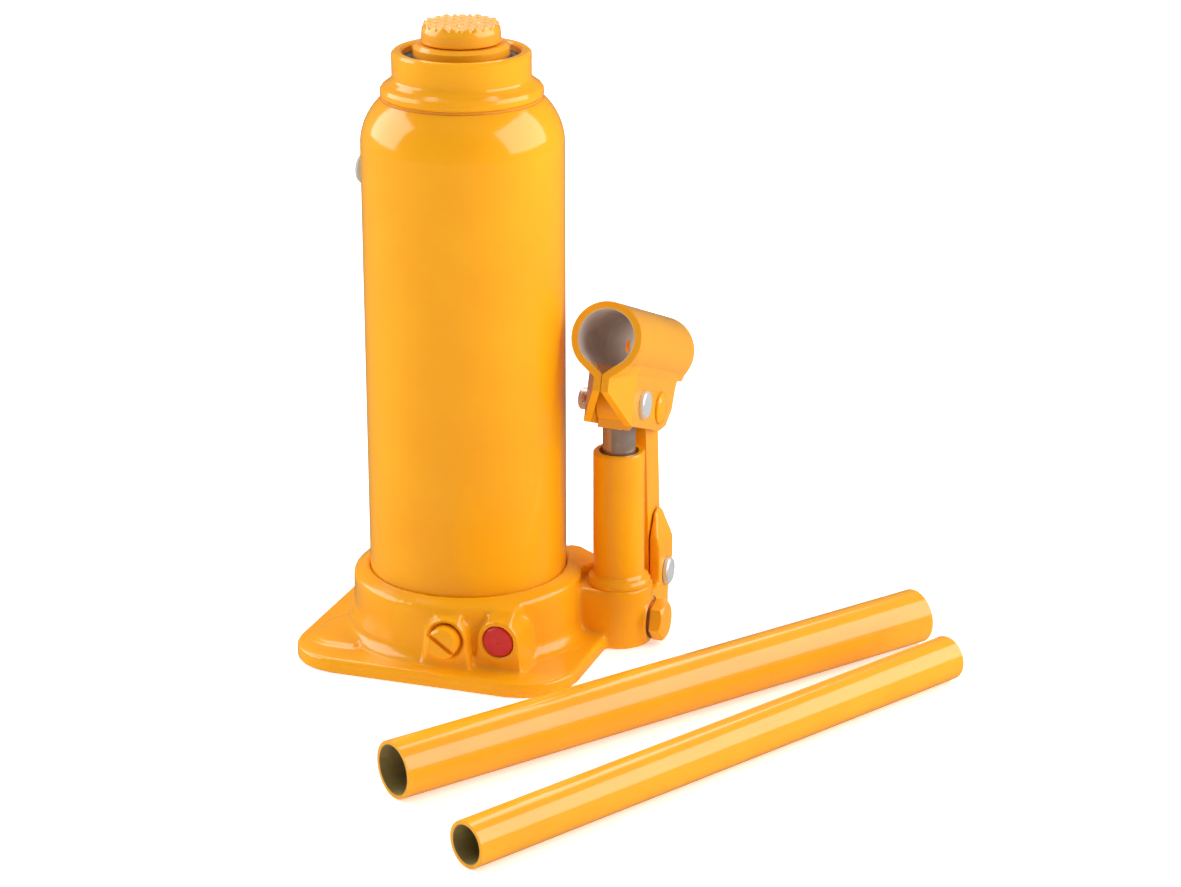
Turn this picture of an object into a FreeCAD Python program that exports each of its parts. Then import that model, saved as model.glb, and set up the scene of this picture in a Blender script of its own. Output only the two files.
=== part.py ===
"""Hydraulic bottle jack with a tilting handle socket and two loose handle tubes.

Millimetres, +Z up, origin on the ram axis at the underside of the base.
The socket and the release screw face -Y, and the hand pump stands on the +X side.
Each section below makes one piece or one group of pieces and exports it as one node.
"""
import FreeCAD
import Part
import math
import os

os.makedirs("parts", exist_ok=True)

X_AXIS = FreeCAD.Vector(1, 0, 0)
Y_AXIS = FreeCAD.Vector(0, 1, 0)
Z_AXIS = FreeCAD.Vector(0, 0, 1)

# ---------------------------------------------------------------- driving sizes
# fits
RUN_GAP = 0.05          # radial gap of a shaft or pin that turns or slides in its hole
FIT_GAP = 0.05          # radial gap between pieces that are fixed together
MOVE_GAP = 0.3          # gap between pieces that pass one another freely

# reservoir and pressure cylinder
TANK_R = 36.0
TANK_WALL = 3.0
TANK_TOP_Z = 203.2
SHOULDER_Z = TANK_TOP_Z - 15.2
TANK_MOUTH_R = 26.8
GASKET_T = 0.9
FILLER_Z = TANK_TOP_Z - 28.8
FILLER_R = 4.0
FILLER_HEAD_R = 5.5
CYL_R = 23.5
CYL_BORE_R = 19.0
CYL_TOP_Z = TANK_TOP_Z - 1.4
WASHER_T = 1.0

# cap nut
CAP_SKIRT_R = CYL_R + 3.0
CAP_SKIRT_Z = SHOULDER_Z
CAP_FLANGE_R = CAP_SKIRT_R + 2.2
CAP_FLANGE_T = 3.6
CAP_NECK_R = 24.5
CAP_TOP_Z = TANK_TOP_Z + 16.8
CAP_MOUTH_R = 20.7
ROD_SEAL_R = 1.0        # cord radius of the rod seal
WIPER_DEPTH = 6.2

# ram and extension screw
RAM_R = 17.0
RAM_TOP_Z = CAP_TOP_Z + 2.6
RAM_BOTTOM_Z = 14.0
RAM_LAND_TOP_Z = 32.0
RAM_STROKE = CYL_TOP_Z - RAM_LAND_TOP_Z - 22.8
SCREW_R = 12.0
RAM_HOLLOW_R = SCREW_R + 1.5
LAND_R = CYL_BORE_R - 0.2
CUP_STUD_R = 12.0
SCREW_BOTTOM_Z = RAM_TOP_Z - 112.6
SCREW_STROKE = 73.5
SCREW_SPIGOT_R = SCREW_R - 2.0
STOP_T = 3.2
SADDLE_R = 14.1
SADDLE_FACE_Z = RAM_TOP_Z + 6.2
OVERALL_Z = SADDLE_FACE_Z + 1.2
TOOTH_PITCH = 3.9
TOOTH_TOP = 1.4
TOOTH_TURN = 64.0       # the rows run about corner to corner, seen from the front

# base casting
PLATE_LEFT = -54.2
PLATE_RIGHT = 52.5
PLATE_HALF_Y = 50.3
PLATE_T = 5.4
PLATE_CORNER_R = 20.0
PLATE_BEVEL = 1.2
RING_R = TANK_R + 6.0
RING_EDGE_Z = 27.5
RING_TOP_Z = 29.8
TANK_SEAT_Z = 22.0
OIL_FLOOR_Z = 19.0
OIL_FLOOR_R = TANK_R - 3.5
CYL_SEAT_Z = 12.0
GALLERY_Z = 9.0
GALLERY_R = 1.8
SUCTION_X = 13.0
SUCTION_Y = 25.2

# release and overload valves, side by side on the front of the ring
VALVE_Z = 16.4
RELEASE_X = 8.1
RELEASE_FACE_Y = -45.0
RELEASE_HEAD_R = 5.6
RELEASE_HEAD_Y = -49.3
RELEASE_THREAD_R = 4.0
RELEASE_SEAT_Y = -27.0
RELEASE_BOSS_R = 8.0
CHECK_BALL_R = 3.0
OVERLOAD_X = 26.3
OVERLOAD_FACE_Y = -41.0
OVERLOAD_PLUG_R = 5.6
OVERLOAD_SEAT_Y = -23.0
OVERLOAD_BOSS_R = 7.8
OVERLOAD_BALL_R = 2.5

# hand pump
PUMP_X = TANK_R + 17.3  # the socket's cheeks just clear the tank
PUMP_Y = 14.8
LUG_R = 12.5
LUG_TOP_Z = 22.5
PUMP_R = 9.4
PUMP_TOP_Z = 73.5
PUMP_SPIGOT_R = 8.0
PUMP_FOOT_Z = 16.0
PISTON_R = 6.0
PUMP_COLLAR_R = PUMP_R + 2.2
PUMP_MOUTH_R = PISTON_R + 1.3
PISTON_FOOT_Z = 25.0
PISTON_PIN_Z = 91.7
VALVE_PORT_R = 5.0
VALVE_BOSS_R = 7.7
HEX_R = 7.6

# socket and link
SOCKET_TILT = 20.9
SOCKET_LEN = 69.0
SOCKET_BORE_R = 10.3
SHEET_T = 2.7
LINK_HALF_T = PISTON_R
CLEVIS_HALF_GAP = LINK_HALF_T + MOVE_GAP
CHEEK_DROP = 30.0
FORK_START = 13.0       # along the socket, where the wrapped sheet has opened into two cheeks
PIN_DROP = 21.6
PIN_ALONG = 24.2
PIN_SPACING = 21.7
PIN_R = 4.0
LINK_END_R = 7.2
LINK_EYE_SLACK = 1.15
EYE_SHIFT_Y = -0.9      # where the link's upper eye is centred, from the pin at rest
EYE_SHIFT_Z = 0.5
EAR_PIN_Y = 40.0
EAR_PIN_Z = 18.3
EAR_HALF_W = 10.5
EAR_TOP_Z = 43.5
PIN_HEAD_R = 5.0
SPLIT_WIRE_R = 0.48

# handle tubes, lying on the floor
BIG_TUBE_R = 10.0
SMALL_TUBE_R = 8.0
TUBE_WALL = 1.5
BIG_TUBE_ENDS = ((25.6, -136.8), (157.7, 46.5))
SMALL_TUBE_ENDS = ((66.1, -175.6), (176.4, 17.0))


# ---------------------------------------------------------------- shape helpers
def vec(x, y, z):
    return FreeCAD.Vector(x, y, z)


def rod(r, start, end):
    """Solid cylinder of radius r from one point to another."""
    a = vec(*start)
    b = vec(*end)
    return Part.makeCylinder(r, (b - a).Length, a, b - a)


def pipe(r_out, r_in, start, end):
    """Straight tube between two points."""
    a = vec(*start)
    b = vec(*end)
    reach = (b - a).normalize()
    hole = rod(r_in, tuple(a - reach), tuple(vec(*end) + reach))
    return rod(r_out, start, end).cut(hole)


def block(x0, x1, y0, y1, z0, z1):
    return Part.makeBox(x1 - x0, y1 - y0, z1 - z0, vec(x0, y0, z0))


def turned(profile, centre=(0, 0)):
    """Solid turned about a vertical axis from a closed list of (radius, z) corners."""
    pts = [vec(r, 0, z) for r, z in profile]
    pts.append(pts[0])
    face = Part.Face(Part.makePolygon(pts))
    solid = face.revolve(vec(0, 0, 0), Z_AXIS, 360)
    solid.translate(vec(centre[0], centre[1], 0))
    return solid


def turned_along(profile, origin, direction):
    """Solid turned about any axis from (radius, distance along the axis) corners."""
    solid = turned(profile)
    turn = FreeCAD.Rotation(Z_AXIS, vec(*direction))
    solid.Placement = FreeCAD.Placement(vec(*origin), turn).multiply(solid.Placement)
    return solid


def prism_x(corners, x0, x1):
    """Solid with a (y, z) outline, standing between two x planes."""
    pts = [vec(x0, y, z) for y, z in corners]
    pts.append(pts[0])
    return Part.Face(Part.makePolygon(pts)).extrude(vec(x1 - x0, 0, 0))


def prism_y(corners, y0, y1):
    """Solid with an (x, z) outline, standing between two y planes."""
    pts = [vec(x, y0, z) for x, z in corners]
    pts.append(pts[0])
    return Part.Face(Part.makePolygon(pts)).extrude(vec(0, y1 - y0, 0))


def hexagon(r, turn):
    """Corners of a hexagon of corner radius r, turned by some degrees."""
    angles = [math.radians(60 * k + turn) for k in range(6)]
    return [(r * math.cos(a), r * math.sin(a)) for a in angles]


def ball(r, centre):
    return Part.makeSphere(r, vec(*centre))


def coil(r_mid, r_wire, turns, start, direction, length):
    """Compression spring whose ends are plain."""
    helix = Part.makeHelix(length / turns, length, r_mid)
    section = Part.Wire(Part.makeCircle(r_wire, vec(r_mid, 0, 0), Y_AXIS))
    wire = Part.Wire(helix).makePipeShell([section], True, True)
    turn = FreeCAD.Rotation(Z_AXIS, vec(*direction))
    wire.Placement = FreeCAD.Placement(vec(*start), turn)
    return wire


def soften(solid, size, wanted):
    """Round the edges that the test picks."""
    edges = [e for e in solid.Edges if wanted(e)]
    return solid.makeFillet(size, edges)


def save(name, *solids):
    shape = solids[0] if len(solids) == 1 else Part.makeCompound(list(solids))
    shape.exportStep("parts/" + name + ".step")


# ---------------------------------------------------------------- base casting
# One iron casting: foot plate, ring that seats the tank, two valve bosses on the front,
# the pump lug on the right and the forked ear behind it for the link.
def foot_plate():
    r = PLATE_CORNER_R
    plate = block(PLATE_LEFT, PLATE_RIGHT, -PLATE_HALF_Y, PLATE_HALF_Y, 0, PLATE_T)
    plate = soften(plate, r, lambda e: abs(e.tangentAt(e.FirstParameter).z) > 0.9)
    top = [e for e in plate.Edges if min(v.Z for v in e.Vertexes) > PLATE_T - 0.1]
    return plate.makeFillet(PLATE_BEVEL, top)


def corner_pad():
    """Low raised pad on the left front corner of the plate."""
    pad = block(-48.3, -30, -38, -11, PLATE_T - 1, PLATE_T + 1.0)
    pad = soften(pad, 8, lambda e: abs(e.tangentAt(e.FirstParameter).z) > 0.9
                 and e.Vertexes[0].X < -40)
    return pad


def pump_ear():
    """Forked ear behind the pump; its two cheeks taper to blunt tops."""
    y0 = EAR_PIN_Y - 8.6
    y1 = EAR_PIN_Y + 8.6
    outline = [(y0, 0), (y1 - 5.5, 0), (y1 - 5.5, 9), (y1, 23), (y1, 29),
               (EAR_PIN_Y + 3.2, EAR_TOP_Z - 1.5), (EAR_PIN_Y, EAR_TOP_Z),
               (EAR_PIN_Y - 4, EAR_TOP_Z - 1.5), (y0, 34)]
    ear = prism_x(outline, PUMP_X - EAR_HALF_W, PUMP_X + EAR_HALF_W)
    for side in (-1, 1):
        face_x = PUMP_X + side * EAR_HALF_W
        wedge = [(face_x - side * 3.2, EAR_TOP_Z + 1), (face_x + side * 1, EAR_TOP_Z + 1),
                 (face_x + side * 1, 28), (face_x, 30.5)]
        ear = ear.cut(prism_y(wedge, 0, 100))
    return ear


def valve_boss(x, r, face_y, back_y):
    """Round boss on the front of the ring, standing on a drafted foot, its crown sloped into the rim."""
    nose = rod(r, (x, back_y, VALVE_Z), (x, face_y, VALVE_Z))
    drafted = [(x - r, VALVE_Z), (x - r - 1.2, 2), (x + r + 1.2, 2), (x + r, VALVE_Z)]
    foot = prism_y(drafted, back_y, face_y + 0.4)
    rim_z = RING_EDGE_Z - 0.9
    crown = prism_x([(back_y, VALVE_Z), (back_y, rim_z), (face_y + 6, rim_z), (face_y, VALVE_Z + 0.8 * r),
                     (face_y, VALVE_Z)], x - 0.6 * r, x + 0.6 * r)
    return nose.fuse([foot, crown])


def pump_lug():
    """Block on the right that holds the pump, the valve port, and the web back to the ring."""
    x = PUMP_X
    y = PUMP_Y
    lug = rod(LUG_R, (x, y, 0), (x, y, LUG_TOP_Z))
    arm = block(30, x, y - LUG_R, 31, 0, LUG_TOP_Z)
    foot = block(x - EAR_HALF_W, x + EAR_HALF_W, y + 2, 34, 0, 16)
    port = rod(VALVE_BOSS_R, (x, y, GALLERY_Z), (x + 13, y, GALLERY_Z))
    web = prism_y([(30, 0), (46, 0), (46, 24.9), (34, RING_TOP_Z), (30, RING_TOP_Z)], 13.5, 26.5)
    web = web.cut(rod(PUMP_COLLAR_R + FIT_GAP, (x, y, LUG_TOP_Z), (x, y, RING_TOP_Z + 1)))
    return [lug, arm, foot, port, web]


def base_body():
    ring = turned([(0, 0), (RING_R + 0.6, 0), (RING_R, RING_EDGE_Z - 1.2),
                   (RING_R - 0.3, RING_EDGE_Z - 0.4), (RING_R - 1.0, RING_EDGE_Z),
                   (TANK_R + 0.8, RING_TOP_Z), (0, RING_TOP_Z)])
    skirt = turned([(0, PLATE_T - 1), (RING_R + 5.4, PLATE_T - 1), (RING_R + 5.4, PLATE_T),
                    (RING_R + 3.2, PLATE_T + 0.6), (RING_R + 1.6, PLATE_T + 1.9),
                    (RING_R + 0.5, PLATE_T + 4.4), (0, PLATE_T + 4.4)])
    bosses = [valve_boss(RELEASE_X, RELEASE_BOSS_R, RELEASE_FACE_Y, -30),
              valve_boss(OVERLOAD_X, OVERLOAD_BOSS_R, OVERLOAD_FACE_Y, -24)]
    return foot_plate().fuse([corner_pad(), ring, skirt, pump_ear()] + bosses + pump_lug()).removeSplitter()


def base_openings():
    """Everything that is bored or drilled out of the casting."""
    z = GALLERY_Z
    seats = [turned([(0, TANK_SEAT_Z), (TANK_R + FIT_GAP, TANK_SEAT_Z), (TANK_R + FIT_GAP, 40), (0, 40)]),
             turned([(0, OIL_FLOOR_Z), (OIL_FLOOR_R, OIL_FLOOR_Z), (OIL_FLOOR_R, 30), (0, 30)]),
             turned([(0, CYL_SEAT_Z), (CYL_R + FIT_GAP, CYL_SEAT_Z), (CYL_R + FIT_GAP, 30), (0, 30)]),
             rod(PUMP_SPIGOT_R + FIT_GAP, (PUMP_X, PUMP_Y, PUMP_FOOT_Z - WASHER_T), (PUMP_X, PUMP_Y, 40)),
             rod(GALLERY_R, (PUMP_X, PUMP_Y, z), (PUMP_X, PUMP_Y, PUMP_FOOT_Z))]
    # delivery line under the pump, with its ball seat insert and spring pocket
    delivery = [rod(VALVE_PORT_R, (44, PUMP_Y, z), (80, PUMP_Y, z)),
                rod(4.0, (29, PUMP_Y, z), (44.5, PUMP_Y, z)),
                rod(GALLERY_R, (8, PUMP_Y, z), (30, PUMP_Y, z)),
                rod(GALLERY_R, (8, PUMP_Y, z), (8, PUMP_Y, CYL_SEAT_Z + 1))]
    # suction line from the oil floor, parallel to it
    suction = [rod(4.0, (48, SUCTION_Y, z), (80, SUCTION_Y, z)),
               rod(GALLERY_R, (SUCTION_X, SUCTION_Y, z), (49, SUCTION_Y, z)),
               rod(GALLERY_R, (SUCTION_X, SUCTION_Y, z), (SUCTION_X, SUCTION_Y, OIL_FLOOR_Z + 1)),
               rod(GALLERY_R, (56, PUMP_Y, z), (56, SUCTION_Y, z))]
    x = RELEASE_X
    release = [rod(6.5, (x, RELEASE_FACE_Y - 5, VALVE_Z), (x, RELEASE_FACE_Y + 2.2, VALVE_Z)),
               rod(RELEASE_THREAD_R + RUN_GAP, (x, -50, VALVE_Z), (x, RELEASE_SEAT_Y, VALVE_Z)),
               rod(GALLERY_R, (x, -30, VALVE_Z), (x, -25.6, VALVE_Z)),
               rod(1.5, (x, -25.6, z), (x, -25.6, VALVE_Z)),
               rod(1.5, (x, -25.6, z), (x, -12, z)),
               rod(1.5, (x, -12, z), (x, -12, CYL_SEAT_Z + 1)),
               rod(1.5, (x, -29.4, VALVE_Z), (x, -29.4, OIL_FLOOR_Z + 1))]
    x = OVERLOAD_X
    overload = [rod(OVERLOAD_PLUG_R + 0.25, (x, -50, VALVE_Z), (x, -36.5, VALVE_Z)),
                rod(4.0 + FIT_GAP, (x, -40, VALVE_Z), (x, OVERLOAD_SEAT_Y, VALVE_Z)),
                rod(1.5, (x, -25, VALVE_Z), (x, PUMP_Y, VALVE_Z)),
                rod(1.5, (x, PUMP_Y, z), (x, PUMP_Y, VALVE_Z))]
    # slot and pin hole of the ear
    slot = LINK_HALF_T + MOVE_GAP
    ear = [block(PUMP_X - slot, PUMP_X + slot, EAR_PIN_Y - 8.9, EAR_PIN_Y + 12, EAR_PIN_Z - 9, 60),
           rod(PIN_R + FIT_GAP, (PUMP_X - 30, EAR_PIN_Y, EAR_PIN_Z), (PUMP_X + 30, EAR_PIN_Y, EAR_PIN_Z))]
    return seats + delivery + suction + release + overload + ear


base = base_body()
for opening in base_openings():
    base = base.cut(opening)
save("base", base)

# ---------------------------------------------------------------- reservoir tank
# Steel tube closed at the top by a rounded shoulder; a flat gasket lies under it and one on top.
tank_foot = TANK_SEAT_Z + GASKET_T
inner = TANK_R - TANK_WALL


def tank_shell():
    lip_r = TANK_MOUTH_R + 1.9
    low_in = TANK_TOP_Z - TANK_WALL
    outer_arc = Part.Arc(vec(TANK_R, 0, SHOULDER_Z), vec(TANK_R - 2.3, 0, SHOULDER_Z + 8.6),
                         vec(lip_r, 0, TANK_TOP_Z)).toShape()
    inner_arc = Part.Arc(vec(TANK_MOUTH_R, 0, low_in), vec(inner - 2.2, 0, SHOULDER_Z + 7.2),
                         vec(inner, 0, SHOULDER_Z)).toShape()
    sides = [Part.makeLine(vec(inner, 0, tank_foot), vec(TANK_R, 0, tank_foot)),
             Part.makeLine(vec(TANK_R, 0, tank_foot), vec(TANK_R, 0, SHOULDER_Z)),
             outer_arc,
             Part.makeLine(vec(lip_r, 0, TANK_TOP_Z), vec(TANK_MOUTH_R, 0, TANK_TOP_Z)),
             Part.makeLine(vec(TANK_MOUTH_R, 0, TANK_TOP_Z), vec(TANK_MOUTH_R, 0, low_in)),
             inner_arc,
             Part.makeLine(vec(inner, 0, SHOULDER_Z), vec(inner, 0, tank_foot))]
    return Part.Face(Part.Wire(sides)).revolve(vec(0, 0, 0), Z_AXIS, 360)


tank = tank_shell().cut(rod(FILLER_R, (-50, 0, FILLER_Z), (-20, 0, FILLER_Z)))
save("tank", tank)
save("tank_foot_gasket", turned([(inner, TANK_SEAT_Z), (TANK_R, TANK_SEAT_Z), (TANK_R, tank_foot),
                                 (inner, tank_foot)]))
cap_seat_z = TANK_TOP_Z + GASKET_T
save("tank_top_gasket", turned([(TANK_MOUTH_R, TANK_TOP_Z), (CAP_FLANGE_R - 0.5, TANK_TOP_Z),
                                (CAP_FLANGE_R - 0.5, cap_seat_z), (TANK_MOUTH_R, cap_seat_z)]))

# Rubber filler plug in the left side of the tank: domed head outside, plain stem inside.
plug_face = TANK_R + MOVE_GAP
stem_r = FILLER_R - MOVE_GAP
filler = turned_along([(0, 31.2), (stem_r - 0.8, 31.2), (stem_r, 32.4), (stem_r, plug_face),
                       (FILLER_HEAD_R, plug_face), (FILLER_HEAD_R, plug_face + 1.8),
                       (FILLER_HEAD_R - 0.9, plug_face + 3.0), (2.4, plug_face + 3.7),
                       (0, plug_face + 3.9)],
                      (0, 0, FILLER_Z), (-1, 0, 0))
save("filler_plug", filler)

# ---------------------------------------------------------------- pressure cylinder
# Thick honed tube screwed into the base on a copper washer.
cyl_foot = CYL_SEAT_Z + WASHER_T
save("pressure_cylinder", pipe(CYL_R, CYL_BORE_R, (0, 0, cyl_foot), (0, 0, CYL_TOP_Z)))
save("cylinder_washer", turned([(CYL_BORE_R, CYL_SEAT_Z), (CYL_R, CYL_SEAT_Z), (CYL_R, cyl_foot),
                                (CYL_BORE_R, cyl_foot)]))

# Bronze bush at the top of the cylinder: it guides the ram and stops its piston.
bush_foot = RAM_LAND_TOP_Z + RAM_STROKE + MOVE_GAP
save("ram_guide_bush", pipe(CYL_BORE_R - FIT_GAP, RAM_R + RUN_GAP, (0, 0, bush_foot), (0, 0, CYL_TOP_Z)))

# ---------------------------------------------------------------- cap nut
# Turned steel nut that clamps the tank to the base; its flange covers the tank's mouth and
# its neck carries the rod seal and the wiper.
flange_top = cap_seat_z + CAP_FLANGE_T
wiper_seat_z = CAP_TOP_Z - WIPER_DEPTH
seal_z = cap_seat_z + 3.6
seal_groove_r = RAM_R + 2 * ROD_SEAL_R + RUN_GAP
cap = turned([(CYL_R + FIT_GAP, CAP_SKIRT_Z), (CAP_SKIRT_R, CAP_SKIRT_Z), (CAP_SKIRT_R, cap_seat_z),
              (CAP_FLANGE_R - 0.7, cap_seat_z), (CAP_FLANGE_R, cap_seat_z + 0.7),
              (CAP_FLANGE_R, flange_top - 1.2), (CAP_FLANGE_R - 0.8, flange_top),
              (CAP_FLANGE_R - 2.6, flange_top + 1.2), (CAP_NECK_R + 0.4, flange_top + 2.4),
              (CAP_NECK_R, flange_top + 3.2), (CAP_NECK_R, CAP_TOP_Z - 0.9), (CAP_NECK_R - 0.9, CAP_TOP_Z),
              (CAP_MOUTH_R + 0.7, CAP_TOP_Z), (CAP_MOUTH_R, CAP_TOP_Z - 0.7), (CAP_MOUTH_R, wiper_seat_z),
              (RAM_R + MOVE_GAP, wiper_seat_z), (RAM_R + MOVE_GAP, seal_z + 1.1),
              (seal_groove_r, seal_z + 1.1), (seal_groove_r, seal_z - 1.1), (RAM_R + MOVE_GAP, seal_z - 1.1),
              (RAM_R + MOVE_GAP, CYL_TOP_Z + FIT_GAP), (CYL_R + FIT_GAP, CYL_TOP_Z + FIT_GAP)])
save("cap_nut", cap)
save("rod_seal", Part.makeTorus(RAM_R + RUN_GAP + ROD_SEAL_R, ROD_SEAL_R - 0.01, vec(0, 0, seal_z)))
save("wiper_ring", turned([(RAM_R + 0.9, wiper_seat_z), (CAP_MOUTH_R - FIT_GAP, wiper_seat_z),
                           (CAP_MOUTH_R - FIT_GAP, wiper_seat_z + 3.4), (RAM_R + 1.2, wiper_seat_z + 3.4),
                           (RAM_R + RUN_GAP, wiper_seat_z + 4.4), (RAM_R + RUN_GAP, wiper_seat_z + 3.2)]))

# ---------------------------------------------------------------- ram
# Ground steel tube with a piston screwed into its foot; the piston carries a cup seal and a
# guide ring. The top of the tube is the nut of the extension screw.
nut_r = SCREW_R + MOVE_GAP
stop_z = SCREW_BOTTOM_Z + 3.0
nut_foot = stop_z + STOP_T + SCREW_STROKE + MOVE_GAP
ram_foot = RAM_LAND_TOP_Z + FIT_GAP
save("ram", turned([(RAM_HOLLOW_R, ram_foot), (RAM_R, ram_foot), (RAM_R, RAM_TOP_Z - 1.2),
                    (RAM_R - 1.2, RAM_TOP_Z), (nut_r + 0.9, RAM_TOP_Z), (nut_r, RAM_TOP_Z - 0.9),
                    (nut_r, nut_foot), (RAM_HOLLOW_R, nut_foot)]))
foot = RAM_BOTTOM_Z
stud_r = RAM_HOLLOW_R - FIT_GAP
groove_r = LAND_R - 1.4
piston = turned([(0, foot), (15.4, foot), (16, foot + 0.6), (16, foot + 1.6), (CUP_STUD_R, foot + 1.6),
                 (CUP_STUD_R, foot + 8), (LAND_R, foot + 8), (LAND_R, foot + 10), (groove_r, foot + 10),
                 (groove_r, foot + 15), (LAND_R, foot + 15), (LAND_R, RAM_LAND_TOP_Z - 0.6),
                 (LAND_R - 0.6, RAM_LAND_TOP_Z), (stud_r, RAM_LAND_TOP_Z), (stud_r, 48),
                 (stud_r - 1.2, 49.2), (0, 49.2)])
save("ram_piston", piston)
cup_out = CYL_BORE_R - RUN_GAP
cup_in = CUP_STUD_R + FIT_GAP
save("cup_seal", turned([(cup_in, foot + 1.7), (cup_in + 1.5, foot + 1.7), (cup_in + 2.5, foot + 4.6),
                         (cup_out - 2.3, foot + 4.6), (cup_out - 1.1, foot + 1.7), (cup_out, foot + 1.7),
                         (cup_out, foot + 7.9), (cup_in, foot + 7.9)]))
save("guide_ring", turned([(groove_r + FIT_GAP, foot + 10.1), (cup_out, foot + 10.1),
                           (cup_out, foot + 14.9), (groove_r + FIT_GAP, foot + 14.9)]))

# ---------------------------------------------------------------- extension screw
# Forged screw whose round head is the saddle; its face is cut into blunt teeth that grip the load.
def saddle_teeth():
    """Square rows of blunt teeth, clipped to the round face."""
    rows = []
    high = OVERALL_Z - SADDLE_FACE_Z + 0.4
    base_half = TOOTH_PITCH / 2 - 0.05
    top_half = TOOTH_TOP / 2
    square = ((-1, -1), (1, -1), (1, 1), (-1, 1), (-1, -1))
    for i in range(-3, 4):
        for j in range(-3, 4):
            x = i * TOOTH_PITCH
            y = j * TOOTH_PITCH
            if math.hypot(x, y) > SADDLE_R + 0.5:
                continue
            low = [vec(x + a * base_half, y + b * base_half, 0) for a, b in square]
            top = [vec(x + a * top_half, y + b * top_half, high) for a, b in square]
            rows.append(Part.makeLoft([Part.makePolygon(low), Part.makePolygon(top)], True, True))
    teeth = rows[0].fuse(rows[1:])
    teeth.rotate(vec(0, 0, 0), Z_AXIS, TOOTH_TURN)
    teeth.translate(vec(0, 0, SADDLE_FACE_Z - 0.4))
    return teeth.common(rod(SADDLE_R - 0.9, (0, 0, 220), (0, 0, 240)))


head_foot = RAM_TOP_Z + MOVE_GAP
groove_z = SCREW_BOTTOM_Z + 1.3
thread_z = stop_z + STOP_T + 0.1
neck_r = SCREW_SPIGOT_R - 1
screw = turned([(0, SCREW_BOTTOM_Z), (neck_r, SCREW_BOTTOM_Z), (SCREW_SPIGOT_R, SCREW_BOTTOM_Z + 1),
                (SCREW_SPIGOT_R, groove_z), (neck_r, groove_z), (neck_r, groove_z + 1.4),
                (SCREW_SPIGOT_R, groove_z + 1.4), (SCREW_SPIGOT_R, thread_z), (SCREW_R - 1, thread_z),
                (SCREW_R, thread_z + 1), (SCREW_R, head_foot), (SADDLE_R - 0.3, head_foot),
                (SADDLE_R, head_foot + 0.5), (SADDLE_R - 0.35, SADDLE_FACE_Z - 0.9),
                (SADDLE_R - 1.3, SADDLE_FACE_Z), (0, SADDLE_FACE_Z)])
save("extension_screw", screw.fuse(saddle_teeth()))
stop_out = RAM_HOLLOW_R - MOVE_GAP
save("screw_stop", pipe(stop_out, SCREW_SPIGOT_R + RUN_GAP, (0, 0, stop_z), (0, 0, stop_z + STOP_T)))
save("screw_circlip", pipe(SCREW_SPIGOT_R + 1.6, neck_r + FIT_GAP, (0, 0, groove_z + 0.05),
                           (0, 0, groove_z + 1.35)))

# ---------------------------------------------------------------- release valve
# Screw with a slotted round head in a counterbored boss; its point presses a ball on the seat.
release_ball_y = RELEASE_SEAT_Y - math.sqrt(CHECK_BALL_R ** 2 - GALLERY_R ** 2) - 0.05
tip = -release_ball_y + CHECK_BALL_R + 0.05
neck_y = -RELEASE_FACE_Y - 2.2
release = turned_along([(0, tip), (RELEASE_THREAD_R - 1.2, tip), (RELEASE_THREAD_R, tip + 1.2),
                        (RELEASE_THREAD_R, neck_y - 3.4), (RELEASE_THREAD_R - 1, neck_y - 3.4),
                        (RELEASE_THREAD_R - 1, neck_y - 1.2), (RELEASE_THREAD_R, neck_y - 1.2),
                        (RELEASE_THREAD_R, neck_y + 0.5), (RELEASE_HEAD_R, neck_y + 0.5),
                        (RELEASE_HEAD_R, -RELEASE_HEAD_Y - 0.7), (RELEASE_HEAD_R - 0.7, -RELEASE_HEAD_Y),
                        (0, -RELEASE_HEAD_Y)],
                       (RELEASE_X, 0, VALVE_Z), (0, -1, 0))
slot = block(-10, 10, RELEASE_HEAD_Y - 1, RELEASE_HEAD_Y + 1.6, -0.9, 0.9)
slot.rotate(vec(0, 0, 0), Y_AXIS, 35)
slot.translate(vec(RELEASE_X, 0, VALVE_Z))
save("release_screw", release.cut(slot))
save("release_ball", ball(CHECK_BALL_R, (RELEASE_X, release_ball_y, VALVE_Z)))
ring_y = -(neck_y - 2.3)
o_ring = Part.makeTorus(RELEASE_THREAD_R - 0.49, 0.5, vec(RELEASE_X, ring_y, VALVE_Z), Y_AXIS)
save("release_o_ring", o_ring)

# ---------------------------------------------------------------- overload valve
# Ball, spring and set screw behind a red plug; set once and never touched by the user.
plug = turned_along([(0, 37.2), (OVERLOAD_PLUG_R - 0.4, 37.2), (OVERLOAD_PLUG_R, 37.6),
                     (OVERLOAD_PLUG_R, -OVERLOAD_FACE_Y - 0.8),
                     (OVERLOAD_PLUG_R - 0.6, -OVERLOAD_FACE_Y - 0.3), (0, -OVERLOAD_FACE_Y - 0.1)],
                    (OVERLOAD_X, 0, VALVE_Z), (0, -1, 0))
save("overload_plug", plug)
hex_key = prism_y(hexagon(2.3, 0), -36.5, -33.5)
hex_key.translate(vec(OVERLOAD_X, 0, VALVE_Z))
adjuster = rod(4.0, (OVERLOAD_X, -36.4, VALVE_Z), (OVERLOAD_X, -32.2, VALVE_Z)).cut(hex_key)
save("overload_adjuster", adjuster)
overload_ball_y = OVERLOAD_SEAT_Y - math.sqrt(OVERLOAD_BALL_R ** 2 - 1.5 ** 2) - 0.05
save("overload_ball", ball(OVERLOAD_BALL_R, (OVERLOAD_X, overload_ball_y, VALVE_Z)))
save("overload_spring", coil(2.3, 0.5, 4, (OVERLOAD_X, -31.6, VALVE_Z), (0, 1, 0), 3.2))

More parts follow.
